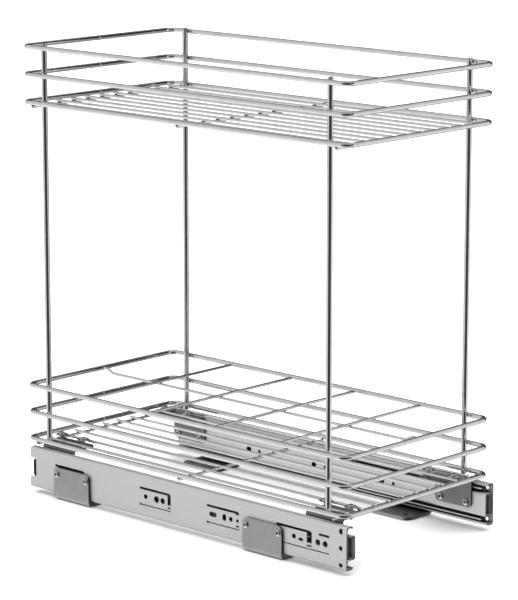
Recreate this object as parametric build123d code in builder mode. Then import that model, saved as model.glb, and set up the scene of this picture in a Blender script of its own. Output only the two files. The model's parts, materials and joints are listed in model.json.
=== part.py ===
"""Two-tier pull-out bottle rack of chrome wire on a pair of three-section ball slides.

Millimetres, +Z up, floor at zero. The front, where the rack pulls out, faces -Y and left is -X.
The origin is the middle of the footprint.
"""

import os

from build123d import *

os.makedirs("parts", exist_ok=True)

# Slide rails
rail_length = 450.0
rail_thickness = 12.7
inner_rail_height = 24.2
outer_sheet = 1.5
middle_sheet = 1.2
inner_sheet = 1.5
bend_inside = 0.8
web_gap = 0.4
lip_reach = 1.0
outer_setback = 3.1
middle_setback = 1.9
middle_lead = 7.0
rail_floor_gap = 5.5
travel_reserve = 10.0

# Balls and cages
ball_size = 3.6
ball_clear = 0.3
groove_depth = 0.35
ball_pitch = 11.7
ball_count = 13
cage_sheet = 0.5
cage_end = 6.0
cage_reserve = 1.0
cage_rim = 3.0
pocket_clear = 0.2

# Lanced pads and holes of the outer rails
pad_rise = 9.5
pad_corner = 3.0
pad_inner_corner = 0.9
pad_top_slit = 2.5
pad_front_slit = 4.6
pad_bottom_slit = 1.1
pad_leg = 12.5
pad_hook = 3.6
pad_relief = 2.8
pad_foot_slot = 1.7
pad_foot_drop = 5.8
pad_dot = 3.5
pad_length_share = 0.159
pad_rear_shares = (0.281, 0.631)
pad_hole_shares = (0.17, 0.53, 0.735)
rear_pad_inset = 40.0
front_pad_inset = 91.0
front_pad_end = 45.0
front_slot_width = 6.5
front_slit_inset = 36.0
front_slit_end = 22.0
front_pad_hole_inset = 68.5
front_pad_oval_inset = 59.5
front_hole_insets = (27.5, 37.0)
small_hole = 5.0
medium_hole = 6.2
large_hole = 7.0
slot_hole_length = 10.0
end_hole_inset = 7.3
end_hole_step = 16.8
end_hole_size = 4.8
end_slot_length = 6.0
notch_height = 20.6
notch_depth = 9.0
notch_corner = 3.0

# Windows and holes of the middle and inner rails
window_margin = 1.5
window_corner = 3.0
stop_tab_height = 14.0
stop_tab_rise = 1.1
tongue_inset = 1.0
tongue_height = 19.0
tongue_corner = 3.0
access_shares = (0.308, 0.521, 0.734)
access_hole = 7.0
rivet_step = 15.6
rivet_hole = 3.8

# Rear bumpers
bumper_front_inset = 12.6
bumper_length = 8.1
bumper_thickness = 6.0
bumper_corner = 3.5
bumper_clear = 0.4
bumper_nose_clear = 0.3

# Basket wires
ring_wire = 5.0
post_wire = 6.0
thin_wire = 3.0
ring_width = 218.0
ring_corner = 10.0
ring_pitch = 29.0
ring_over_rail = 8.4
tier_rise = 360.5
rail_lead = 3.0
rail_proud = 1.0
weld_gap = 0.05
wire_end_chamfer = 0.4
post_inset = 26.5
post_top_rise = 4.0
cross_inset = 14.0
cross_stub = 1.0
floor_wire_edge = 13.8
floor_wire_count = 10
floor_wire_overhang = 2.0
divider_drop = 1.0
divider_count = 4
joggle_land = 6.0
joggle_run = 8.0
joggle_bend = 4.0

# Brackets
floor_sheet = 3.0
corner_sheet = 2.0
bracket_bend = 2.0
floor_plate_width = 53.0
floor_plate_rise = 7.2
floor_plate_corner = 6.0
floor_flange = 40.5
floor_flange_corner = 8.0
floor_front_inset = 108.9
floor_rear_inset = 66.15
floor_screw_edge = 4.5
floor_hole_size = 5.0
floor_hole_inset = 10.5
floor_hole_edge = 10.0
corner_plate_width = 47.5
corner_plate_drop = 5.4
corner_plate_corner = 5.0
corner_flange = 31.8
corner_flange_corner = 5.0
corner_inset = 35.5
corner_screw_edge = 7.15
seat_gap = 0.1

# Screws
screw_size = 4.0
screw_hole_clear = 0.2
head_size = 7.6
head_height = 2.2
head_round = 1.6
side_screw_tail = 3.0
clamp_washer = 13.0
clamp_washer_height = 1.0
clamp_screw_offset = 6.5
clamp_screw_tail = 4.0
hole_overrun = 1.0
pick_tolerance = 0.01

# Slide section, measured in from the outer rail's face and out from the slide's middle line
race_gap = ball_size + 2 * ball_clear - 2 * groove_depth
groove_radius = ball_size / 2 + ball_clear
inner_half = inner_rail_height / 2
middle_inside = inner_half + race_gap
middle_half = middle_inside + middle_sheet
outer_inside = middle_half + race_gap
outer_half = outer_inside + outer_sheet
outer_cage_back = outer_sheet + web_gap
middle_back = outer_cage_back + cage_sheet + web_gap
inner_cage_back = middle_back + middle_sheet + web_gap
inner_flange_end = inner_cage_back + cage_sheet + web_gap
outer_depth = rail_thickness - outer_setback
middle_depth = rail_thickness - middle_setback
outer_cage_depth = outer_depth - outer_sheet - web_gap
inner_cage_depth = middle_depth - middle_sheet - web_gap
outer_ball_in = (outer_cage_back + cage_sheet + outer_depth - outer_sheet) / 2
inner_ball_in = (inner_cage_back + cage_sheet + middle_depth - middle_sheet) / 2
outer_ball_up = middle_half + race_gap / 2
inner_ball_up = inner_half + race_gap / 2
outer_lip = outer_inside - lip_reach

# Heights
rail_middle = rail_floor_gap + outer_half
rail_top = rail_middle + outer_half
lower_ring = rail_top + ring_over_rail
lower_heights = [lower_ring + row * ring_pitch for row in range(3)]
upper_heights = [height + tier_rise for height in lower_heights]
cross_drop = ring_wire / 2 + thin_wire / 2 + weld_gap
floor_drop = cross_drop - thin_wire - weld_gap
divider_height = lower_heights[-1] - divider_drop
long_divider_low = divider_height - thin_wire - weld_gap
long_divider_high = lower_heights[-1]
post_bottom = lower_ring - ring_wire / 2
post_top = upper_heights[-1] + post_top_rise
corner_plate_top = lower_ring - cross_drop - thin_wire / 2 - seat_gap
corner_plate_bottom = rail_middle - corner_plate_drop
floor_plate_top = rail_middle + floor_plate_rise
clamp_seat = lower_ring - floor_drop + thin_wire / 2 + weld_gap

# Places along the depth
ring_length = rail_length
overall_depth = ring_length + ring_wire + rail_lead
rail_front = -overall_depth / 2
rail_rear = rail_front + rail_length
ring_middle = (overall_depth - ring_length - ring_wire) / 2
bumper_front = rail_rear - bumper_front_inset
sliding_rear = bumper_front - bumper_clear
middle_front = rail_front + middle_lead
slide_travel = rail_length - travel_reserve
cage_rear = sliding_rear - slide_travel / 4 - cage_reserve
cage_length = (ball_count - 1) * ball_pitch + 2 * cage_end
post_reach = ring_length / 2 - post_inset
cross_reach = ring_length / 2 - cross_inset
corner_reach = ring_length / 2 - corner_inset
divider_spacing = ring_length / (divider_count + 1)
floor_places = {"front": rail_front + floor_front_inset, "rear": rail_rear - floor_rear_inset}
corner_places = {"front": ring_middle - corner_reach, "rear": ring_middle + corner_reach}
floor_screw_step = floor_plate_width - 2 * floor_screw_edge
floor_hole_step = floor_plate_width - 2 * floor_hole_inset
corner_screw_step = corner_plate_width - 2 * corner_screw_edge
bracket_span = floor_places["rear"] - floor_places["front"]
pad_length = pad_length_share * bracket_span
slotted_pad, round_pad = [floor_places["front"] + share * bracket_span for share in pad_rear_shares]
rear_pad = rail_rear - rear_pad_inset
pads = {
    "front": (rail_front + front_pad_inset, rail_front + front_pad_end),
    "slotted": (slotted_pad, slotted_pad - pad_length),
    "round": (round_pad, round_pad - pad_length),
    "rear": (rear_pad, rear_pad - pad_length),
}

# Places across the width
rail_face = ring_width / 2 + ring_wire / 2 + rail_proud
rail_back = rail_face - rail_thickness
post_side = ring_width / 2 - ring_wire / 2 - post_wire / 2 - weld_gap
floor_flange_end = rail_face + floor_sheet - floor_flange
corner_flange_end = rail_back - corner_flange
floor_wire_half = ring_width / 2 - ring_wire / 2 - floor_wire_edge
floor_wire_spacing = 2 * floor_wire_half / (floor_wire_count - 1)
floor_wire_places = [row * floor_wire_spacing - floor_wire_half for row in range(floor_wire_count)]
clamp_side = floor_wire_places[-2] + clamp_screw_offset
sides = {"left": -1, "right": 1}


def save(piece, name):
    """Label a finished piece and write it."""
    piece.part.label = name
    export_step(piece.part, f"parts/{name}.step")


def slide_section(side, upper, radii, balls):
    """Section of a rolled rail or cage from the points of its upper half, grooved where the balls run."""

    def placed(points, rise_sign):
        return [(side * (rail_face - depth), rail_middle + rise_sign * rise) for depth, rise in points]

    with BuildSketch() as section:
        with BuildLine():
            outline = placed(upper, 1) + placed(reversed(upper), -1)
            FilletPolyline(*outline, radius=radii + radii[::-1], close=True)
        make_face()
        with Locations(*placed(balls, 1), *placed(balls, -1)):
            Circle(groove_radius, mode=Mode.SUBTRACT)
    return section.sketch


def pad_slits(rear, front, slit, leg):
    """Slits that free a mounting pad from the outer rail's web: above it, before it and below it."""
    top = rail_middle + pad_rise
    bottom = rail_middle - pad_rise
    outline = [
        (rear, top),
        (front, top),
        (front, top - leg),
        (front + slit, top - leg),
        (front + slit, top - pad_top_slit),
        (rear, top - pad_top_slit),
    ]
    with BuildSketch() as slits:
        with BuildLine():
            FilletPolyline(*outline, radius=[0, pad_corner, 0, 0, pad_inner_corner, 0], close=True)
        make_face()
        with Locations((rear, top - pad_top_slit / 2)):
            Circle(pad_top_slit / 2)
        with Locations(((rear + front) / 2, bottom + pad_bottom_slit / 2)):
            Rectangle(rear - front, pad_bottom_slit)
        with Locations((rear, bottom + pad_bottom_slit / 2)):
            Circle(pad_relief / 2)
        with Locations((front + slit / 2, rail_middle - pad_foot_drop)):
            SlotOverall(slit, pad_foot_slot)
    return slits.sketch


def pad_holes():
    """Screw holes and slots in the pads of the outer rail, and the pair of holes before them."""
    steps = [share * pad_length for share in pad_hole_shares]
    slotted = [(slotted_pad - step, rail_middle) for step in steps]
    rounded = [(round_pad - step, rail_middle) for step in steps]
    oval_drop = medium_hole / 4
    with BuildSketch() as holes:
        with Locations(slotted[0]):
            SlotOverall(slot_hole_length, small_hole)
        with Locations(slotted[1]):
            SlotOverall(large_hole, small_hole, rotation=90)
        with Locations(slotted[2], rounded[0], (rail_front + front_pad_hole_inset, rail_middle)):
            Circle(small_hole / 2)
        with Locations(rounded[1]):
            Circle(large_hole / 2)
        with Locations(rounded[2], *[(rail_front + inset, rail_middle) for inset in front_hole_insets]):
            Circle(medium_hole / 2)
        with Locations((rail_front + front_pad_oval_inset, rail_middle - oval_drop)):
            SlotOverall(medium_hole, medium_hole / 2)
        with Locations((slotted_pad - pad_length + pad_front_slit / 2, rail_middle)):
            Circle(pad_dot / 2)
    return holes.sketch


def outer_rail(side):
    """The rail that stays in the cabinet, with lanced pads, end holes and a notched rear end."""
    bend_outside = bend_inside + outer_sheet
    upper = [
        (outer_sheet, outer_inside),
        (outer_depth - outer_sheet, outer_inside),
        (outer_depth - outer_sheet, outer_lip),
        (outer_depth, outer_lip),
        (outer_depth, outer_half),
        (0, outer_half),
    ]
    radii = [bend_inside, bend_inside, 0, 0, bend_outside, bend_outside]
    end_hole = rail_front + end_hole_inset
    front_slit = rail_front + (front_slit_inset + front_slit_end) / 2
    front_line = rail_front + (front_pad_end + front_slit_end) / 2
    with BuildPart() as piece:
        with BuildSketch(Plane.XZ.offset(-rail_rear)):
            add(slide_section(side, upper, radii, [(outer_ball_in, outer_ball_up)]))
        extrude(amount=rail_length)
        with BuildSketch(Plane.YZ.offset(side * rail_face)):
            for name, (rear, front) in pads.items():
                slit = front_slot_width if name == "front" else pad_front_slit
                leg = pad_hook if name == "slotted" else pad_leg
                add(pad_slits(rear, front, slit, leg))
            add(pad_holes())
            with Locations((front_slit, rail_middle + pad_rise - pad_top_slit / 2)):
                SlotOverall(front_slit_inset - front_slit_end, pad_top_slit)
            with Locations((front_line, rail_middle - pad_rise + pad_bottom_slit / 2)):
                Rectangle(front_pad_end - front_slit_end, pad_bottom_slit)
            with Locations((end_hole, rail_middle + end_hole_step)):
                SlotOverall(end_slot_length, end_hole_size, rotation=90)
            with Locations((end_hole, rail_middle), (end_hole, rail_middle - end_hole_step)):
                Circle(end_hole_size / 2)
            with Locations((rail_rear, rail_middle)):
                RectangleRounded(2 * notch_depth, notch_height, notch_corner)
            for place in floor_places.values():
                with Locations((place, rail_middle)):
                    with GridLocations(floor_screw_step, 0, 2, 1):
                        Circle(screw_size / 2 + screw_hole_clear)
        extrude(amount=outer_sheet + web_gap, both=True, mode=Mode.SUBTRACT)
    return piece


def middle_rail(side):
    """The rail that runs half as far as the basket, open behind the pads, with a tongue at its front."""
    bend_outside = bend_inside + middle_sheet
    upper = [
        (middle_back + middle_sheet, middle_inside),
        (middle_depth, middle_inside),
        (middle_depth, middle_half),
        (middle_back, middle_half),
    ]
    radii = [bend_inside, 0, 0, bend_outside]
    balls = [(outer_ball_in, outer_ball_up), (inner_ball_in, inner_ball_up)]
    window_height = 2 * (pad_rise + window_margin)
    tongue_front = rail_front + tongue_inset
    tongue_rear = middle_front + tongue_corner
    with BuildPart() as piece:
        with BuildSketch(Plane.XZ.offset(-sliding_rear)):
            add(slide_section(side, upper, radii, balls))
        extrude(amount=sliding_rear - middle_front)
        with BuildSketch(Plane.YZ.offset(side * (rail_face - middle_back))):
            for name, (rear, front) in pads.items():
                end = rail_front + front_slit_end if name == "front" else front
                with Locations(((rear + end) / 2, rail_middle)):
                    RectangleRounded(rear - end + 2 * window_margin, window_height, window_corner)
        extrude(amount=middle_sheet + web_gap, both=True, mode=Mode.SUBTRACT)
        with BuildSketch(Plane.YZ.offset(side * (rail_face - middle_back))):
            with Locations(((tongue_front + tongue_rear) / 2, rail_middle)):
                RectangleRounded(tongue_rear - tongue_front, tongue_height, tongue_corner)
        extrude(amount=-side * middle_sheet)
        with BuildSketch(Plane.YZ.offset(side * (rail_face - middle_back - middle_sheet))):
            with Locations((middle_front + middle_sheet / 2, rail_middle)):
                Rectangle(middle_sheet, stop_tab_height)
        extrude(amount=-side * stop_tab_rise)
    return piece


def inner_rail(side):
    """The rail that carries the basket, with its access and rivet holes."""
    bend_outside = bend_inside + inner_sheet
    upper = [
        (rail_thickness - inner_sheet, inner_half - inner_sheet),
        (inner_flange_end, inner_half - inner_sheet),
        (inner_flange_end, inner_half),
        (rail_thickness, inner_half),
    ]
    radii = [bend_inside, 0, 0, bend_outside]
    access_holes = [rail_front + share * rail_length for share in access_shares]
    with BuildPart() as piece:
        with BuildSketch(Plane.XZ.offset(-sliding_rear)):
            add(slide_section(side, upper, radii, [(inner_ball_in, inner_ball_up)]))
        extrude(amount=sliding_rear - rail_front)
        with BuildSketch(Plane.YZ.offset(side * rail_back)):
            for access in access_holes:
                with Locations((access, rail_middle)):
                    Circle(access_hole / 2)
                with Locations((access - rivet_step, rail_middle)):
                    Circle(rivet_hole / 2)
            for place in corner_places.values():
                with Locations((place, rail_middle)):
                    with GridLocations(corner_screw_step, 0, 2, 1):
                        Circle(screw_size / 2 + screw_hole_clear)
        extrude(amount=inner_sheet + hole_overrun, both=True, mode=Mode.SUBTRACT)
    return piece


def cage(side, back, depth, ball_in, ball_up):
    """A pressed strip that spaces the balls of one race, open along its web."""
    upper = [
        (back + cage_sheet, ball_up - cage_sheet / 2),
        (depth, ball_up - cage_sheet / 2),
        (depth, ball_up + cage_sheet / 2),
        (back, ball_up + cage_sheet / 2),
    ]
    center = cage_rear - cage_length / 2
    with BuildPart() as piece:
        with BuildSketch(Plane.XZ.offset(-cage_rear)):
            add(slide_section(side, upper, [0, 0, 0, 0], []))
        extrude(amount=cage_length)
        with BuildSketch(Plane.YZ.offset(side * (rail_face - back))):
            with Locations((center, rail_middle)):
                Rectangle(cage_length - 4 * cage_end, 2 * (ball_up - cage_rim))
        extrude(amount=cage_sheet + web_gap, both=True, mode=Mode.SUBTRACT)
        with BuildSketch(Plane.XY.offset(rail_middle)):
            with Locations((side * (rail_face - ball_in), center)):
                with GridLocations(0, ball_pitch, 1, ball_count):
                    Circle(ball_size / 2 + pocket_clear)
        extrude(amount=ball_up + cage_sheet, both=True, mode=Mode.SUBTRACT)
    return piece


def balls(side, ball_in, ball_up):
    """The two rows of balls of one cage."""
    center = cage_rear - cage_length / 2
    across = side * (rail_face - ball_in)
    with BuildPart() as piece:
        with Locations((across, center, rail_middle - ball_up), (across, center, rail_middle + ball_up)):
            with GridLocations(0, ball_pitch, 1, ball_count):
                Sphere(ball_size / 2)
    return piece


def rear_bumper(side):
    """The rubber block that ends the inward travel, with a nose in the outer rail's notch."""
    height = notch_height - 2 * bumper_nose_clear
    nose_depth = notch_depth - bumper_nose_clear
    with BuildPart() as piece:
        with BuildSketch(Plane.YZ.offset(side * (rail_face - outer_sheet))):
            with Locations((bumper_front + bumper_length / 2, rail_middle)):
                RectangleRounded(bumper_length, height, bumper_corner)
        extrude(amount=-side * bumper_thickness)
        with BuildSketch(Plane.YZ.offset(side * (rail_face - outer_sheet))):
            with Locations((bumper_front + bumper_length / 2, rail_middle)):
                RectangleRounded(bumper_length, height, bumper_corner)
            with Locations((rail_rear, rail_middle)):
                RectangleRounded(2 * nose_depth, height, notch_corner, mode=Mode.INTERSECT)
        extrude(amount=side * (outer_sheet - bumper_nose_clear))
    return piece


def floor_bracket(side, place):
    """A bent plate screwed to the outer rail, with a flange that is screwed to the cabinet floor."""
    outline = [
        (side * (rail_face + floor_sheet), floor_plate_top),
        (side * (rail_face + floor_sheet), 0),
        (side * floor_flange_end, 0),
        (side * floor_flange_end, floor_sheet),
        (side * rail_face, floor_sheet),
        (side * rail_face, floor_plate_top),
    ]
    radii = [0, bracket_bend + floor_sheet, 0, 0, bracket_bend, 0]
    with BuildPart() as piece:
        with BuildSketch(Plane.XZ.offset(-place - floor_plate_width / 2)):
            with BuildLine():
                FilletPolyline(*outline, radius=radii, close=True)
            make_face()
        extrude(amount=floor_plate_width)
        fillet(piece.edges().filter_by(Axis.X).group_by(Axis.Z)[-1], radius=floor_plate_corner)
        flange_corners = piece.edges().filter_by(Axis.Z).sort_by(lambda edge: abs(edge.center().X))[:2]
        fillet(flange_corners, radius=floor_flange_corner)
        with BuildSketch(Plane.YZ.offset(side * rail_face)):
            with Locations((place, rail_middle)):
                with GridLocations(floor_screw_step, 0, 2, 1):
                    Circle(screw_size / 2 + screw_hole_clear)
        extrude(amount=floor_sheet + hole_overrun, both=True, mode=Mode.SUBTRACT)
        with BuildSketch(Plane.XY):
            with Locations((side * (floor_flange_end + floor_hole_edge), place)):
                with GridLocations(0, floor_hole_step, 1, 2):
                    Circle(floor_hole_size / 2)
        extrude(amount=floor_sheet + hole_overrun, both=True, mode=Mode.SUBTRACT)
    return piece


def corner_bracket(side, place):
    """A bent plate screwed to the inner rail, with a flange that the basket stands on."""
    outline = [
        (side * rail_back, corner_plate_bottom),
        (side * rail_back, corner_plate_top),
        (side * corner_flange_end, corner_plate_top),
        (side * corner_flange_end, corner_plate_top - corner_sheet),
        (side * (rail_back - corner_sheet), corner_plate_top - corner_sheet),
        (side * (rail_back - corner_sheet), corner_plate_bottom),
    ]
    radii = [0, bracket_bend + corner_sheet, 0, 0, bracket_bend, 0]
    with BuildPart() as piece:
        with BuildSketch(Plane.XZ.offset(-place - corner_plate_width / 2)):
            with BuildLine():
                FilletPolyline(*outline, radius=radii, close=True)
            make_face()
        extrude(amount=corner_plate_width)
        fillet(piece.edges().filter_by(Axis.X).group_by(Axis.Z)[0], radius=corner_plate_corner)
        flange_corners = piece.edges().filter_by(Axis.Z).sort_by(lambda edge: abs(edge.center().X))[:2]
        fillet(flange_corners, radius=corner_flange_corner)
        with BuildSketch(Plane.YZ.offset(side * rail_back)):
            with Locations((place, rail_middle)):
                with GridLocations(corner_screw_step, 0, 2, 1):
                    Circle(screw_size / 2 + screw_hole_clear)
        extrude(amount=corner_sheet + hole_overrun, both=True, mode=Mode.SUBTRACT)
        with BuildSketch(Plane.XY.offset(corner_plate_top)):
            with Locations((side * clamp_side, place)):
                with GridLocations(0, corner_screw_step, 1, 2):
                    Circle(screw_size / 2 + screw_hole_clear)
        extrude(amount=corner_sheet + hole_overrun, both=True, mode=Mode.SUBTRACT)
    return piece


def side_screws(seat, inward, places, step, shank):
    """Pan-head screws through the plates on both sides, heads on the seat, shanks across the slide."""
    with BuildPart() as piece:
        for side in sides.values():
            plane = Plane.YZ.offset(side * seat)
            spots = [(place + half * step / 2, rail_middle) for place in places.values() for half in (-1, 1)]
            with BuildSketch(plane):
                with Locations(*spots):
                    Circle(head_size / 2)
            extrude(amount=-side * inward * head_height)
            with BuildSketch(plane):
                with Locations(*spots):
                    Circle(screw_size / 2)
            extrude(amount=side * inward * shank)
        crown = seat - inward * head_height
        rims = piece.edges().filter_by(GeomType.CIRCLE)
        crown_rims = rims.filter_by(lambda edge: abs(abs(edge.center().X) - crown) < pick_tolerance)
        fillet(crown_rims, radius=head_round)
    return piece


def clamp_screws():
    """Screws with wide round flanges that hold the floor wires down on the corner brackets."""
    shank = clamp_seat - corner_plate_top + corner_sheet + clamp_screw_tail
    spots = [
        (side * clamp_side, place + half * corner_screw_step / 2)
        for side in sides.values()
        for place in corner_places.values()
        for half in (-1, 1)
    ]
    crown = clamp_seat + clamp_washer_height + head_height
    with BuildPart() as piece:
        with BuildSketch(Plane.XY.offset(clamp_seat)):
            with Locations(*spots):
                Circle(clamp_washer / 2)
        extrude(amount=clamp_washer_height)
        with BuildSketch(Plane.XY.offset(clamp_seat)):
            with Locations(*spots):
                Circle(head_size / 2)
        extrude(amount=clamp_washer_height + head_height)
        with BuildSketch(Plane.XY.offset(clamp_seat)):
            with Locations(*spots):
                Circle(screw_size / 2)
        extrude(amount=-shank)
        rims = piece.edges().filter_by(GeomType.CIRCLE)
        fillet(rims.filter_by(lambda edge: abs(edge.center().Z - crown) < pick_tolerance), radius=head_round)
    return piece


def ring(height):
    """One closed wire ring of a basket."""
    side, front, rear = ring_width / 2, ring_middle - ring_length / 2, ring_middle + ring_length / 2
    with BuildPart() as piece:
        with BuildLine(Plane.XY.offset(height)) as path:
            FilletPolyline(
                (-side, front), (side, front), (side, rear), (-side, rear), radius=ring_corner, close=True
            )
        with BuildSketch(Plane(origin=path.line @ 0, z_dir=path.line % 0)):
            Circle(ring_wire / 2)
        sweep()
    return piece


def post(side, along):
    """One upright corner wire, inside the rings."""
    with BuildPart() as piece:
        with BuildSketch(Plane.XY.offset(post_bottom)):
            with Locations((side * post_side, ring_middle + along * post_reach)):
                Circle(post_wire / 2)
        extrude(amount=post_top - post_bottom)
        chamfer(piece.edges().filter_by(GeomType.CIRCLE), length=wire_end_chamfer)
    return piece


def cross_wire(along, height, half_length):
    """One thin wire across the basket."""
    with BuildPart() as piece:
        with BuildSketch(Plane.YZ.offset(-half_length)):
            with Locations((along, height)):
                Circle(thin_wire / 2)
        extrude(amount=2 * half_length)
        chamfer(piece.edges().filter_by(GeomType.CIRCLE), length=wire_end_chamfer)
    return piece


def floor_wires(height):
    """The long thin wires of one basket floor, on top of its cross wires."""
    reach = cross_reach + thin_wire / 2 + floor_wire_overhang
    with BuildPart() as piece:
        with BuildSketch(Plane.XZ.offset(-ring_middle - reach)):
            with Locations(*[(across, height) for across in floor_wire_places]):
                Circle(thin_wire / 2)
        extrude(amount=2 * reach)
        chamfer(piece.edges().filter_by(GeomType.CIRCLE), length=wire_end_chamfer)
    return piece


def long_divider():
    """The middle wire of the lower basket, joggled to pass under the cross dividers."""
    reach = ring_length / 2 - ring_wire / 2 - weld_gap
    low_reach = reach - joggle_land - joggle_run
    upper_half = [(reach, long_divider_high), (reach - joggle_land, long_divider_high)]
    points = upper_half + [(low_reach, long_divider_low)]
    outline = [(ring_middle - along, height) for along, height in points]
    outline += [(ring_middle + along, height) for along, height in reversed(points)]
    with BuildPart() as piece:
        with BuildLine(Plane.YZ) as path:
            FilletPolyline(*outline, radius=joggle_bend)
        with BuildSketch(Plane(origin=path.line @ 0, z_dir=path.line % 0)):
            Circle(thin_wire / 2)
        sweep()
    return piece


# Slides, one of each piece per side
for hand, sign in sides.items():
    save(outer_rail(sign), f"outer_rail_{hand}")
    save(middle_rail(sign), f"middle_rail_{hand}")
    save(inner_rail(sign), f"inner_rail_{hand}")
    outer_race = (outer_ball_in, outer_ball_up)
    inner_race = (inner_ball_in, inner_ball_up)
    save(cage(sign, outer_cage_back, outer_cage_depth, *outer_race), f"outer_cage_{hand}")
    save(cage(sign, inner_cage_back, inner_cage_depth, *inner_race), f"inner_cage_{hand}")
    save(balls(sign, *outer_race), f"outer_balls_{hand}")
    save(balls(sign, *inner_race), f"inner_balls_{hand}")
    save(rear_bumper(sign), f"rear_bumper_{hand}")
    for end, spot in floor_places.items():
        save(floor_bracket(sign, spot), f"floor_bracket_{end}_{hand}")
    for end, spot in corner_places.items():
        save(corner_bracket(sign, spot), f"corner_bracket_{end}_{hand}")

# Screws
floor_seat = rail_face + floor_sheet
floor_shank = floor_sheet + outer_sheet
corner_seat = rail_back - corner_sheet
corner_shank = corner_sheet + inner_sheet + side_screw_tail
save(side_screws(floor_seat, -1, floor_places, floor_screw_step, floor_shank), "floor_bracket_screws")
save(side_screws(corner_seat, 1, corner_places, corner_screw_step, corner_shank), "corner_bracket_screws")
save(clamp_screws(), "basket_clamp_screws")

# Rings and posts
for tier, heights in {"lower": lower_heights, "upper": upper_heights}.items():
    for level, ring_height in zip(("bottom", "middle", "top"), heights):
        save(ring(ring_height), f"{tier}_ring_{level}")
for hand, sign in sides.items():
    save(post(sign, -1), f"post_front_{hand}")
    save(post(sign, 1), f"post_rear_{hand}")

# Basket floors
cross_half = ring_width / 2 + cross_stub
for tier, heights in {"lower": lower_heights, "upper": upper_heights}.items():
    save(floor_wires(heights[0] - floor_drop), f"{tier}_floor_wires")
    for end, along in {"front": -cross_reach, "middle": 0, "rear": cross_reach}.items():
        save(cross_wire(ring_middle + along, heights[0] - cross_drop, cross_half), f"{tier}_cross_wire_{end}")

# Bottle dividers
divider_half = ring_width / 2 - ring_wire / 2 - weld_gap
for row in range(divider_count):
    along = (row - (divider_count - 1) / 2) * divider_spacing
    save(cross_wire(ring_middle + along, divider_height, divider_half), f"cross_divider_{row + 1}")
save(long_divider(), "long_divider")
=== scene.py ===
"""Looks of the pull-out bottle rack: chrome wire, zinc slides, coated brackets, screws, welds, studio."""

import json
import math

import bmesh
import bpy
from mathutils import Matrix, Vector


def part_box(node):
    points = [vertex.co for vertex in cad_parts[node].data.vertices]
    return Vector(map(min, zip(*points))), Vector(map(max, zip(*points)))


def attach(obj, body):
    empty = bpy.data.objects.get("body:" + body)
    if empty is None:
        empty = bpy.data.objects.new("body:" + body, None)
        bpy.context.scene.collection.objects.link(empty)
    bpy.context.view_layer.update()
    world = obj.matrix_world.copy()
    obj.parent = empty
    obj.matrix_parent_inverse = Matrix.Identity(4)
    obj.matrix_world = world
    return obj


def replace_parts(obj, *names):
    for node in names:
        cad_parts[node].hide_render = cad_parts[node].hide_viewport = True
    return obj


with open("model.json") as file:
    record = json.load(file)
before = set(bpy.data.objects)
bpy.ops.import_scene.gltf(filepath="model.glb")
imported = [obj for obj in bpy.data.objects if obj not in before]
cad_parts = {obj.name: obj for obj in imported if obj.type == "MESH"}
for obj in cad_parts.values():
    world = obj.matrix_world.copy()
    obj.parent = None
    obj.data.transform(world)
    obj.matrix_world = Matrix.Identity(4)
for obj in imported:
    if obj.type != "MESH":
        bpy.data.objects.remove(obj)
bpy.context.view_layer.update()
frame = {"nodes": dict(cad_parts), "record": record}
nodes = frame["nodes"]
scene = bpy.context.scene

# Directions of the frame: the slides run along Y, and the front faces minus Y
ACROSS = Vector((1, 0, 0))
ALONG = Vector((0, 1, 0))
UP = Vector((0, 0, 1))
LEFT = Vector((-1, 0, 0))
DOWN = Vector((0, 0, -1))

# Image and camera, fitted to the photograph: pixels, metres and degrees, with the sensor in millimetres
IMAGE_WIDTH = 518
IMAGE_HEIGHT = 600
FOCAL_PIXELS = 2831.4
CENTRE_PIXEL = (253.1, 298.0)
SENSOR_MM = 36.0
CAMERA_PLACE = (-2.0734, -1.9593, 0.8142)
CAMERA_AZIMUTH = -46.61
CAMERA_ELEVATION = 11.67
CAMERA_REACH = 100.0

# Meshes: distance in metres at which points are one, digits of a metre that tell places apart,
# angle in degrees from which an edge is sharp, and steps round a turned body
MERGE_DISTANCE = 1e-6
SORT_DIGITS = 5
SHARP_ANGLE = 38.0
TURN_STEPS = 36

# Screws, in metres, with shares of the head's radius and a spin in radians from each screw to the next
HEAD_HEIGHT = 0.0022
HEAD_EDGE = 0.0006
DOME_STEPS = 9
WASHER_HEIGHT = 0.0010
WASHER_EDGE = 0.0002
SHANK_RADIUS = 0.0020
THREAD_STEP = 0.0007
THREAD_DEPTH = 0.0003
ROWS_PER_THREAD = 5
RECESS_DEPTH = 0.0015
RECESS_ARM_SHARE = 0.62
RECESS_WIDTH_SHARE = 0.20
RECESS_TAPER = 0.45
SCREW_SPIN = 1.1

# Welds, in metres, with the scale of a nugget at a post, at a ring and where thin wires cross
WELD_SIZE = 0.0017
WELD_THIN_SHARE = 0.55
WELD_STEPS = 14
WELD_AT_POST = 1.35
WELD_AT_RING = 1.0
WELD_AT_CROSSING = 0.85
WELD_UNEVEN_SHARE = 0.08
WELD_UNEVEN_TURN = 2.4
BEAD_WIDTH = 0.0024
BEAD_RISE = 0.0003

# Finishes: values of noise, of openness for painted shade in hollows and of facing for painted shade on cut
# ends, between which a finish goes from one end to the other, the faint blue in every grey, the height of
# grain in metres, and the shares of zinc's level in its streaks
NOISE_PLACES = (0.3, 0.7)
OCCLUSION_SHADE_PLACES = (0.15, 0.6)
OCCLUSION_SHADE_SAMPLES = 8
END_SHADE_PLACES = (0.6, 0.9)
BLUE_SHARE = 1.012
GRAIN_HEIGHT = 0.0002
ZINC_DULL_SHARE = 0.95
ZINC_BRIGHT_SHARE = 1.05

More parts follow.
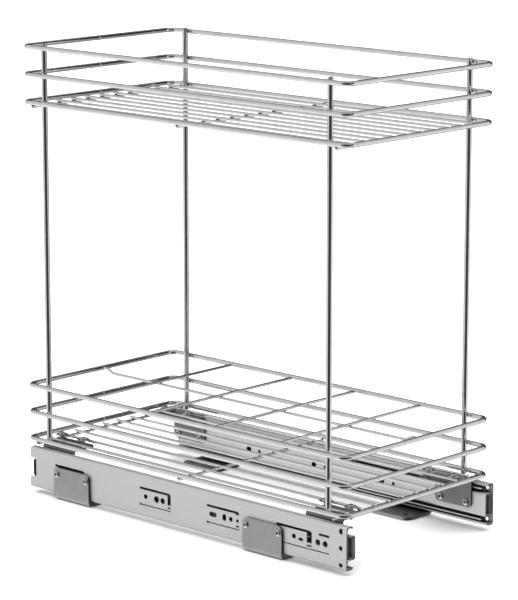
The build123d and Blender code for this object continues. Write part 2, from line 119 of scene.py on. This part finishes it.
# Studio floor and lights, in metres, with the brightness of each light's face
FLOOR_REACH = 5.0
FLOOR_DROP = 0.0005
OVERHEAD_PLACE = (0, 0, 6.0)
OVERHEAD_SIDE = 16.0
OVERHEAD_LEVEL = 2.3
CARD_PLACE = (0.50, -1.15, 0.60)
CARD_WIDTH = 1.6
CARD_HEIGHT = 2.0
CARD_LEVEL = 0.56

# The white that the camera sees round the rack, and the studio walls that light it and show in its metal:
# direction, half width in degrees, soft edge in degrees, brightness, each wall over those before it
SURROUND_COLOUR = (1.0, 1.0, 1.0, 1.0)
WALL_BASE = 0.42
WALLS = (
    ((0.75, 0.62, 0.20), 36.0, 24.0, 0.06),
    ((-0.74, 0.66, 0.10), 44.0, 22.0, 0.58),
    ((0.74, -0.62, 0.20), 45.0, 22.0, 0.015),
    ((0.00, 0.00, -1.00), 70.0, 40.0, 0.92),
    ((-0.72, -0.69, -0.05), 49.0, 18.0, 0.04),
    ((0.70, -0.10, -0.70), 40.0, 26.0, 0.28),
)


def add_camera():
    data = bpy.data.cameras.new("camera")
    camera = bpy.data.objects.new("camera", data)
    scene.collection.objects.link(camera)
    azimuth = math.radians(CAMERA_AZIMUTH)
    elevation = math.radians(CAMERA_ELEVATION)
    level = math.cos(elevation)
    back = Vector((math.sin(azimuth) * level, -math.cos(azimuth) * level, math.sin(elevation)))
    camera.location = CAMERA_PLACE
    camera.rotation_euler = (-back).to_track_quat("-Z", "Y").to_euler()
    data.sensor_width = SENSOR_MM
    data.lens = FOCAL_PIXELS / IMAGE_HEIGHT * SENSOR_MM
    data.shift_x = (IMAGE_WIDTH / 2 - CENTRE_PIXEL[0]) / IMAGE_HEIGHT
    data.shift_y = (CENTRE_PIXEL[1] - IMAGE_HEIGHT / 2) / IMAGE_HEIGHT
    data.clip_end = CAMERA_REACH
    scene.camera = camera


class Finish:
    """A material's node tree, with short calls for the nodes that the finishes share."""

    def __init__(self, name):
        self.material = bpy.data.materials.new(name)
        self.material.use_nodes = True
        self.tree = self.material.node_tree
        self.tree.nodes.clear()
        self.shader = self.add("BsdfPrincipled")
        self.link(self.shader.outputs[0], self.add("OutputMaterial").inputs["Surface"])
        self.place = self.add("TexCoord").outputs["Object"]

    def add(self, kind, **values):
        """A new node with the given values on its sockets."""
        node = self.tree.nodes.new("ShaderNode" + kind)
        self.fill(node, values)
        return node

    def fill(self, node, values):
        """Set a node's sockets by name, with an underscore for each space."""
        for key, value in values.items():
            node.inputs[key.replace("_", " ")].default_value = value

    def link(self, start, end):
        self.tree.links.new(start, end)

    def set(self, **values):
        self.fill(self.shader, values)

    def drive(self, socket, value):
        self.link(value, self.shader.inputs[socket])

    def noise(self, scale, detail, rough=0.5, stretch=None):
        """Cloudy noise, drawn out along the axes that stretch gives a low scale."""
        node = self.add("TexNoise", Scale=scale, Detail=detail, Roughness=rough)
        place = self.place
        if stretch:
            mapping = self.add("Mapping", Scale=stretch)
            self.link(self.place, mapping.inputs["Vector"])
            place = mapping.outputs[0]
        self.link(place, node.inputs["Vector"])
        return node.outputs[0]

    def spread(self, value, low, high, places=NOISE_PLACES):
        """A value brought from the range between two places to the range from low to high."""
        start, end = places
        node = self.add("MapRange", From_Min=start, From_Max=end, To_Min=low, To_Max=high)
        self.link(value, node.inputs["Value"])
        return node.outputs[0]

    def greys(self, value, levels, places=NOISE_PLACES):
        """A value turned into greys, with one level at each place."""
        node = self.add("ValToRGB")
        stops = node.color_ramp.elements
        while len(stops) < len(places):
            stops.new(places[len(stops) - 1])
        for stop, place, level in zip(stops, places, levels):
            stop.position = place
            stop.color = (level, level, level * BLUE_SHARE, 1.0)
        self.link(value, node.inputs[0])
        return node.outputs[0]

    def shaded(self, colour, share):
        """A colour times a share."""
        node = self.add("VectorMath")
        node.operation = "SCALE"
        self.link(colour, node.inputs[0])
        self.link(share, node.inputs["Scale"])
        return node.outputs[0]

    def painted_occlusion_shade(self, colour, reach, depth):
        """Painted shade: the colour, darker where other surfaces stand close by, as in channels and at
        contacts.
        """
        node = self.add("AmbientOcclusion", Distance=reach)
        node.samples = OCCLUSION_SHADE_SAMPLES
        return self.shaded(colour, self.spread(node.outputs["AO"], 1.0 - depth, 1.0, OCCLUSION_SHADE_PLACES))

    def painted_end_shade(self, colour, dark_share):
        """Painted shade: the colour, darker on the cut ends that face along the slides."""
        parts = self.add("SeparateXYZ")
        self.link(self.add("NewGeometry").outputs["True Normal"], parts.inputs[0])
        size = self.add("Math")
        size.operation = "ABSOLUTE"
        self.link(parts.outputs["Y"], size.inputs[0])
        return self.shaded(colour, self.spread(size.outputs[0], 1.0, dark_share, END_SHADE_PLACES))

    def roughness(self, value, low, high):
        self.drive("Roughness", self.spread(value, low, high))

    def grain(self, value, strength):
        """Fine unevenness that the light catches."""
        node = self.add("Bump", Strength=strength, Distance=GRAIN_HEIGHT)
        self.link(value, node.inputs["Height"])
        self.drive("Normal", node.outputs[0])


def chrome_wire():
    finish = Finish("chrome_wire")
    cloud = finish.noise(scale=90.0, detail=4.0)
    finish.drive("Base Color", finish.greys(cloud, levels=(0.86, 0.94), places=(0.30, 0.62)))
    finish.roughness(finish.noise(scale=220.0, detail=4.0), low=0.05, high=0.14)
    finish.grain(finish.noise(scale=900.0, detail=2.0), strength=0.05)
    finish.set(Metallic=1.0)
    return finish.material


def zinc(name, level, metallic):
    finish = Finish(name)
    streaks = finish.noise(scale=60.0, detail=5.0, rough=0.6, stretch=(7.0, 0.35, 7.0))
    levels = (ZINC_DULL_SHARE * level, level, ZINC_BRIGHT_SHARE * level)
    plate = finish.greys(streaks, levels, places=(0.25, 0.55, 0.80))
    # Painted shade: the zinc darkened where other surfaces stand close, deep in the slide channels and by
    # the brackets.
    shade = finish.painted_occlusion_shade(plate, reach=0.030, depth=0.95)
    # Painted shade: darker on the cut ends that face along the slides.
    finish.drive("Base Color", finish.painted_end_shade(shade, dark_share=0.12))
    finish.roughness(finish.noise(scale=35.0, detail=5.0), low=0.32, high=0.40)
    drawn = finish.noise(scale=300.0, detail=4.0, rough=0.6, stretch=(6.0, 0.25, 6.0))
    finish.grain(drawn, strength=0.05)
    finish.set(Metallic=metallic)
    return finish.material


def coated(name, levels, roughness, metallic):
    finish = Finish(name)
    coat = finish.greys(finish.noise(scale=55.0, detail=5.0), levels)
    # Painted shade: the coat darkened where other surfaces stand close, at its contacts with rails and
    # wires.
    shade = finish.painted_occlusion_shade(coat, reach=0.006, depth=0.6)
    # Painted shade: darker on the cut ends that face along the slides.
    finish.drive("Base Color", finish.painted_end_shade(shade, dark_share=0.15))
    finish.roughness(finish.noise(scale=160.0, detail=3.0), *roughness)
    finish.grain(finish.noise(scale=1400.0, detail=3.0), strength=0.10)
    finish.set(Metallic=metallic)
    return finish.material


def rubber():
    finish = Finish("bumper_rubber")
    cloud = finish.noise(scale=300.0, detail=4.0)
    finish.drive("Base Color", finish.greys(cloud, levels=(0.006, 0.014)))
    finish.roughness(finish.noise(scale=500.0, detail=3.0), low=0.65, high=0.85)
    finish.grain(finish.noise(scale=2200.0, detail=3.0), strength=0.3)
    finish.set(Specular_IOR_Level=0.25)
    return finish.material


def cage_strip():
    finish = Finish("cage_strip")
    streaks = finish.noise(scale=70.0, detail=5.0, rough=0.6, stretch=(6.0, 0.4, 6.0))
    finish.drive("Base Color", finish.greys(streaks, levels=(0.05, 0.10)))
    finish.roughness(finish.noise(scale=220.0, detail=4.0), low=0.30, high=0.50)
    finish.grain(finish.noise(scale=900.0, detail=3.0), strength=0.1)
    finish.set(Metallic=0.9)
    return finish.material


def steel(name, levels, roughness):
    finish = Finish(name)
    finish.drive("Base Color", finish.greys(finish.noise(scale=400.0, detail=4.0), levels))
    finish.roughness(finish.noise(scale=700.0, detail=3.0), *roughness)
    finish.grain(finish.noise(scale=1500.0, detail=3.0), strength=0.08)
    finish.set(Metallic=1.0)
    return finish.material


finishes = {
    "chrome_wire": chrome_wire(),
    "zinc_rail": zinc("zinc_rail", level=0.61, metallic=0.58),
    "cage_strip": cage_strip(),
    "ball_steel": steel("ball_steel", levels=(0.72, 0.82), roughness=(0.08, 0.20)),
    "bumper_rubber": rubber(),
    "screw_steel": steel("screw_steel", levels=(0.70, 0.82), roughness=(0.20, 0.32)),
    "floor_bracket_paint": coated(
        "floor_bracket_paint", levels=(0.42, 0.48), roughness=(0.29, 0.40), metallic=0.96
    ),
    "corner_bracket_paint": coated(
        "corner_bracket_paint", levels=(0.23, 0.27), roughness=(0.27, 0.38), metallic=0.90
    ),
}
# Painted light: a paler, less metallic copy of the rail zinc, so the middle and inner rails show lit inside
# the slide channels.
painted_light_inner_zinc = zinc("zinc_inner_rail_painted_light", level=0.72, metallic=0.52)
# Painted shade: near-black steel for the inside of the screw recesses, where shade falls.
recess_painted_shade = steel("recess_painted_shade", levels=(0.05, 0.09), roughness=(0.45, 0.57))
weld_metal = steel("weld_metal", levels=(0.03, 0.09), roughness=(0.30, 0.42))


def dress_nodes():
    """Each CAD node gets the finish of its slot, and the rails that run inside get a paler copy of the
    zinc, painted light so they show lit inside the channels.
    """
    for part in frame["record"]["subparts"]:
        inside = part["node"].startswith(("middle_rail", "inner_rail"))
        shown = nodes[part["node"]]
        shown.data.materials.clear()
        shown.data.materials.append(painted_light_inner_zinc if inside else finishes[part["material_slot"]])


def islands(node):
    """Boxes of the separate solids in a node, as lowest and highest corners, in order of place."""
    shape = bmesh.new()
    shape.from_mesh(nodes[node].data)
    bmesh.ops.remove_doubles(shape, verts=shape.verts, dist=MERGE_DISTANCE)
    left = set(shape.verts)
    boxes = []
    while left:
        front = [left.pop()]
        low = front[0].co.copy()
        high = front[0].co.copy()
        while front:
            vertex = front.pop()
            low = Vector(map(min, low, vertex.co))
            high = Vector(map(max, high, vertex.co))
            for edge in vertex.link_edges:
                other = edge.other_vert(vertex)
                if other in left:
                    left.discard(other)
                    front.append(other)
        boxes.append((low, high))
    shape.free()
    return sorted(boxes, key=lambda box: [round(value, SORT_DIGITS) for value in box[0]])


def centre(node):
    low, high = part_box(node)
    return (low + high) / 2


def radius_of(node):
    """Radius of a level wire, or of the heads of screws that lie at one height."""
    low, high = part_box(node)
    return (high.z - low.z) / 2


def facing(direction):
    """The turn that points a piece's own Z axis in a direction."""
    return direction.to_track_quat("Z", "Y").to_matrix().to_4x4()


def as_mesh(name, shape):
    """A mesh from a worked shape, which is freed."""
    mesh = bpy.data.meshes.new(name)
    shape.to_mesh(mesh)
    shape.free()
    return mesh


def as_object(name, shape):
    """A linked object from a worked shape, with its faces turned outward."""
    bmesh.ops.recalc_face_normals(shape, faces=shape.faces)
    made = bpy.data.objects.new(name, as_mesh(name, shape))
    scene.collection.objects.link(made)
    return made


def add_piece(name, mesh, body):
    """Link a finished mesh as a smooth piece that rides on a body."""
    piece = bpy.data.objects.new(name, mesh)
    scene.collection.objects.link(piece)
    mesh.polygons.foreach_set("use_smooth", [True] * len(mesh.polygons))
    mesh.set_sharp_from_angle(angle=math.radians(SHARP_ANGLE))
    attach(piece, body)
    return piece


def turned(rows):
    """A closed turned body from rows of height and radius, where a radius may be a rule of the angle."""
    shape = bmesh.new()
    rings = []
    for height, radius in rows:
        ring = []
        for step in range(TURN_STEPS):
            angle = 2 * math.pi * step / TURN_STEPS
            reach = radius(angle, height) if callable(radius) else radius
            ring.append(shape.verts.new((reach * math.cos(angle), reach * math.sin(angle), height)))
        rings.append(ring)
    for upper, lower in zip(rings, rings[1:]):
        for step in range(TURN_STEPS):
            after = (step + 1) % TURN_STEPS
            shape.faces.new((upper[step], lower[step], lower[after], upper[after]))
    shape.faces.new(rings[0])
    shape.faces.new(rings[-1][::-1])
    return shape


def thread_radius(angle, height):
    """Radius of a screw thread that winds one step per turn."""
    phase = (height / THREAD_STEP - angle / (2 * math.pi)) % 1.0
    return SHANK_RADIUS - THREAD_DEPTH * abs(2 * phase - 1)


def screw_body(head_radius, shank_length, washer_radius):
    """A domed head on an optional washer flange, over a threaded shank, with its seat at height zero."""
    seat = WASHER_HEIGHT if washer_radius else 0.0
    rows = []
    for step in range(1, DOME_STEPS + 1):
        turn = math.pi / 2 * step / DOME_STEPS
        height = seat + HEAD_EDGE + (HEAD_HEIGHT - HEAD_EDGE) * math.cos(turn)
        rows.append((height, head_radius * math.sin(turn)))
    if washer_radius:
        rows.append((seat, head_radius))
        rows.append((seat, washer_radius - WASHER_EDGE))
        rows.append((seat - WASHER_EDGE, washer_radius))
        rows.append((WASHER_EDGE, washer_radius))
        rows.append((0.0, washer_radius - WASHER_EDGE))
    else:
        rows.append((0.0, head_radius))
    rows.append((0.0, SHANK_RADIUS - THREAD_DEPTH))
    thread_rows = int(shank_length / (THREAD_STEP / ROWS_PER_THREAD))
    for row in range(1, thread_rows):
        rows.append((-shank_length * row / thread_rows, thread_radius))
    rows.append((-shank_length, SHANK_RADIUS - 2 * THREAD_DEPTH))
    return turned(rows)


def cross_cutter(head_radius, top):
    """A tapered cross that presses the driver recess into a head."""
    arm = RECESS_ARM_SHARE * head_radius
    half = RECESS_WIDTH_SHARE * head_radius
    corner = [(arm, -half), (arm, half), (half, half)]
    outline = []
    for quarter in range(4):
        turn = Matrix.Rotation(math.pi / 2 * quarter, 2)
        outline += [turn @ Vector(point) for point in corner]
    shape = bmesh.new()
    bottom = top - RECESS_DEPTH
    rim = [shape.verts.new((x, y, top + HEAD_EDGE)) for x, y in outline]
    tip = [shape.verts.new((x * RECESS_TAPER, y * RECESS_TAPER, bottom)) for x, y in outline]
    for here in range(len(outline)):
        after = (here + 1) % len(outline)
        shape.faces.new((rim[here], tip[here], tip[after], rim[after]))
    shape.faces.new(rim)
    shape.faces.new(tip[::-1])
    return shape


def screw_mesh(name, head_radius, shank_length, washer_radius=0.0):
    """One screw with its cross recess cut, the recess painted near black as shade."""
    top = HEAD_HEIGHT + (WASHER_HEIGHT if washer_radius else 0.0)
    body = as_object(name, screw_body(head_radius, shank_length, washer_radius))
    cutter = as_object(name + "_cutter", cross_cutter(head_radius, top))
    body.data.materials.append(finishes["screw_steel"])
    cutter.data.materials.append(recess_painted_shade)
    cut = body.modifiers.new("recess", "BOOLEAN")
    cut.operation = "DIFFERENCE"
    cut.solver = "EXACT"
    cut.material_mode = "TRANSFER"
    cut.object = cutter
    graph = bpy.context.evaluated_depsgraph_get()
    mesh = bpy.data.meshes.new_from_object(body.evaluated_get(graph))
    for spare in (body, cutter):
        bpy.data.objects.remove(spare)
    return mesh


def screw_set(node, body, mesh, places):
    """All screws of one node as one piece, each turned by its own angle about its axis."""
    name = node + "_detailed"
    shape = bmesh.new()
    for index, (seat, axis) in enumerate(places):
        copy = mesh.copy()
        spin = Matrix.Rotation(index * SCREW_SPIN, 4, "Z")
        copy.transform(Matrix.Translation(seat) @ facing(axis) @ spin)
        shape.from_mesh(copy)
        bpy.data.meshes.remove(copy)
    joined = as_mesh(name, shape)
    for material in mesh.materials:
        joined.materials.append(material)
    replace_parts(add_piece(name, joined, body), node)


def add_rail_screws(node, body, outward):
    """Screws that hold a set of brackets to the rails, heads away from the middle or towards it."""
    boxes = islands(node)
    low, high = boxes[0]
    mesh = screw_mesh(node + "_one", (high.y - low.y) / 2, high.x - low.x - HEAD_HEIGHT)
    places = []
    for low, high in boxes:
        side = math.copysign(1, low.x) * outward
        crown = high.x if side > 0 else low.x
        middle = (low + high) / 2
        seat = Vector((crown - side * HEAD_HEIGHT, middle.y, middle.z))
        places.append((seat, Vector((side, 0, 0))))
    screw_set(node, body, mesh, places)


def add_clamp_screws(node):
    """Upright screws with washer flanges that clamp the floor wires, with the other screws' heads."""
    boxes = islands(node)
    low, high = boxes[0]
    above = HEAD_HEIGHT + WASHER_HEIGHT
    head_radius = radius_of("floor_bracket_screws")
    mesh = screw_mesh("clamp_screw_one", head_radius, high.z - low.z - above, (high.x - low.x) / 2)
    places = []
    for low, high in boxes:
        middle = (low + high) / 2
        places.append((Vector((middle.x, middle.y, high.z - above)), UP))
    screw_set(node, "basket", mesh, places)


def ring_nodes():
    return [node for node in nodes if "_ring_" in node]


def post_welds():
    """Where the posts stand against the insides of the rings."""
    spots = []
    for post in [node for node in nodes if node.startswith("post_")]:
        for ring in ring_nodes():
            at = centre(post)
            edge = math.copysign(1, at.x) * (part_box(ring)[1].x - 2 * radius_of(ring))
            spots.append((Vector((edge, at.y, centre(ring).z)), ACROSS, WELD_AT_POST))
    return spots


def floor_welds():
    """Where the cross wires carry the bottom rings and the floor wires."""
    spots = []
    for tier in ("lower", "upper"):
        ring = f"{tier}_ring_bottom"
        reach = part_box(ring)[1].x - radius_of(ring)
        wires = [((low + high) / 2).x for low, high in islands(f"{tier}_floor_wires")]
        floor_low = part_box(f"{tier}_floor_wires")[0].z
        for end in ("front", "middle", "rear"):
            cross = centre(f"{tier}_cross_wire_{end}")
            for side in (-1, 1):
                spots.append((Vector((side * reach, cross.y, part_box(ring)[0].z)), UP, WELD_AT_RING))
            for wire in wires:
                spots.append((Vector((wire, cross.y, floor_low)), UP, WELD_AT_CROSSING))
    return spots


def divider_welds():
    """Where the dividers meet the lower basket's top ring and each other."""
    spots = []
    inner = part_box("lower_ring_top")[1].x - 2 * radius_of("lower_ring_top")
    for node in nodes:
        if node.startswith("cross_divider_"):
            at = centre(node)
            for side in (-1, 1):
                spots.append((Vector((side * inner, at.y, at.z)), ACROSS, WELD_AT_RING))
            spots.append((Vector((0, at.y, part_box(node)[0].z)), UP, WELD_AT_CROSSING))
    low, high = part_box("long_divider")
    end_height = high.z - radius_of("cross_divider_1")
    for end in (low.y, high.y):
        spots.append((Vector((0, end, end_height)), ALONG, WELD_AT_RING))
    return spots


def add_welds():
    """Small flattened nuggets of weld metal where the wires of the basket meet."""
    shape = bmesh.new()
    spots = post_welds() + floor_welds() + divider_welds()
    for index, (place, normal, scale) in enumerate(spots):
        uneven = 1 + WELD_UNEVEN_SHARE * math.sin(WELD_UNEVEN_TURN * index)
        size = WELD_SIZE * scale * uneven
        flat = Matrix.Diagonal((size, size / uneven, size * WELD_THIN_SHARE, 1.0))
        bmesh.ops.create_uvsphere(
            shape,
            u_segments=WELD_STEPS,
            v_segments=WELD_STEPS // 2,
            radius=1.0,
            matrix=Matrix.Translation(place) @ facing(normal) @ flat,
        )
    mesh = as_mesh("weld_nuggets", shape)
    mesh.materials.append(weld_metal)
    add_piece("weld_nuggets", mesh, "basket")


def add_butt_welds():
    """A narrow dressed bead on the rear run of every ring, where its wire closes."""
    shape = bmesh.new()
    half = BEAD_WIDTH / 2
    for ring in ring_nodes():
        radius = radius_of(ring)
        crown = radius + BEAD_RISE
        bead = turned([(-half, radius), (-half / 2, crown), (half / 2, crown), (half, radius)])
        place = Vector((0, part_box(ring)[1].y - crown, centre(ring).z))
        bmesh.ops.transform(bead, matrix=Matrix.Translation(place) @ facing(ACROSS), verts=bead.verts)
        mesh = as_mesh("bead", bead)
        shape.from_mesh(mesh)
        bpy.data.meshes.remove(mesh)
    bmesh.ops.recalc_face_normals(shape, faces=shape.faces)
    mesh = as_mesh("ring_butt_welds", shape)
    mesh.materials.append(finishes["chrome_wire"])
    add_piece("ring_butt_welds", mesh, "basket")


def add_floor():
    corners = [(-1, -1), (1, -1), (1, 1), (-1, 1)]
    points = [(x * FLOOR_REACH, y * FLOOR_REACH, -FLOOR_DROP) for x, y in corners]
    mesh = bpy.data.meshes.new("floor")
    mesh.from_pydata(points, [], [range(len(points))])
    floor = bpy.data.objects.new("floor", mesh)
    scene.collection.objects.link(floor)
    floor.visible_glossy = False
    finish = Finish("floor")
    finish.drive("Base Color", finish.greys(finish.noise(scale=3.0, detail=3.0), levels=(0.90, 0.93)))
    finish.set(Roughness=0.8, Specular_IOR_Level=0.1)
    mesh.materials.append(finish.material)


def add_light(name, place, direction, width, height, level, in_metal):
    """A soft box of one brightness that either lights the floor and coats or shows in the metal."""
    data = bpy.data.lights.new(name, "AREA")
    data.shape = "RECTANGLE"
    data.size = width
    data.size_y = height
    data.energy = level * math.pi * width * height
    light = bpy.data.objects.new(name, data)
    light.location = place
    light.rotation_euler = direction.to_track_quat("-Z", "Y").to_euler()
    light.visible_camera = False
    light.visible_glossy = in_metal
    light.visible_diffuse = not in_metal
    scene.collection.objects.link(light)


def add_world():
    """A white surround for the eye, and soft light and dark walls for light and reflections."""
    world = bpy.data.worlds.new("studio")
    scene.world = world
    world.use_nodes = True
    tree = world.node_tree
    tree.nodes.clear()

    def add(kind, **settings):
        node = tree.nodes.new("ShaderNode" + kind)
        for key, value in settings.items():
            setattr(node, key, value)
        return node

    direction = add("TexCoord").outputs["Generated"]
    level = None
    for aim, half, edge, brightness in WALLS:
        dot = add("VectorMath", operation="DOT_PRODUCT")
        tree.links.new(direction, dot.inputs[0])
        dot.inputs[1].default_value = Vector(aim).normalized()
        soft = add("MapRange", interpolation_type="SMOOTHSTEP")
        soft.inputs["From Min"].default_value = math.cos(math.radians(half + edge / 2))
        soft.inputs["From Max"].default_value = math.cos(math.radians(half - edge / 2))
        tree.links.new(dot.outputs["Value"], soft.inputs["Value"])
        mix = add("Mix", data_type="FLOAT")
        tree.links.new(soft.outputs[0], mix.inputs["Factor"])
        if level is None:
            mix.inputs["A"].default_value = WALL_BASE
        else:
            tree.links.new(level, mix.inputs["A"])
        mix.inputs["B"].default_value = brightness
        level = mix.outputs["Result"]
    walls = add("Background")
    tree.links.new(level, walls.inputs["Color"])
    surround = add("Background")
    surround.inputs["Color"].default_value = SURROUND_COLOUR
    pick = add("MixShader")
    tree.links.new(add("LightPath").outputs["Is Camera Ray"], pick.inputs[0])
    tree.links.new(walls.outputs[0], pick.inputs[1])
    tree.links.new(surround.outputs[0], pick.inputs[2])
    tree.links.new(pick.outputs[0], add("OutputWorld").inputs["Surface"])


dress_nodes()
add_rail_screws("floor_bracket_screws", "cabinet_side", outward=1)
add_rail_screws("corner_bracket_screws", "basket", outward=-1)
add_clamp_screws("basket_clamp_screws")
add_welds()
add_butt_welds()
add_camera()
add_floor()
add_world()
add_light("overhead", OVERHEAD_PLACE, DOWN, OVERHEAD_SIDE, OVERHEAD_SIDE, OVERHEAD_LEVEL, in_metal=False)
add_light("front_card", CARD_PLACE, LEFT, CARD_WIDTH, CARD_HEIGHT, CARD_LEVEL, in_metal=True)
scene.view_settings.view_transform = "Standard"
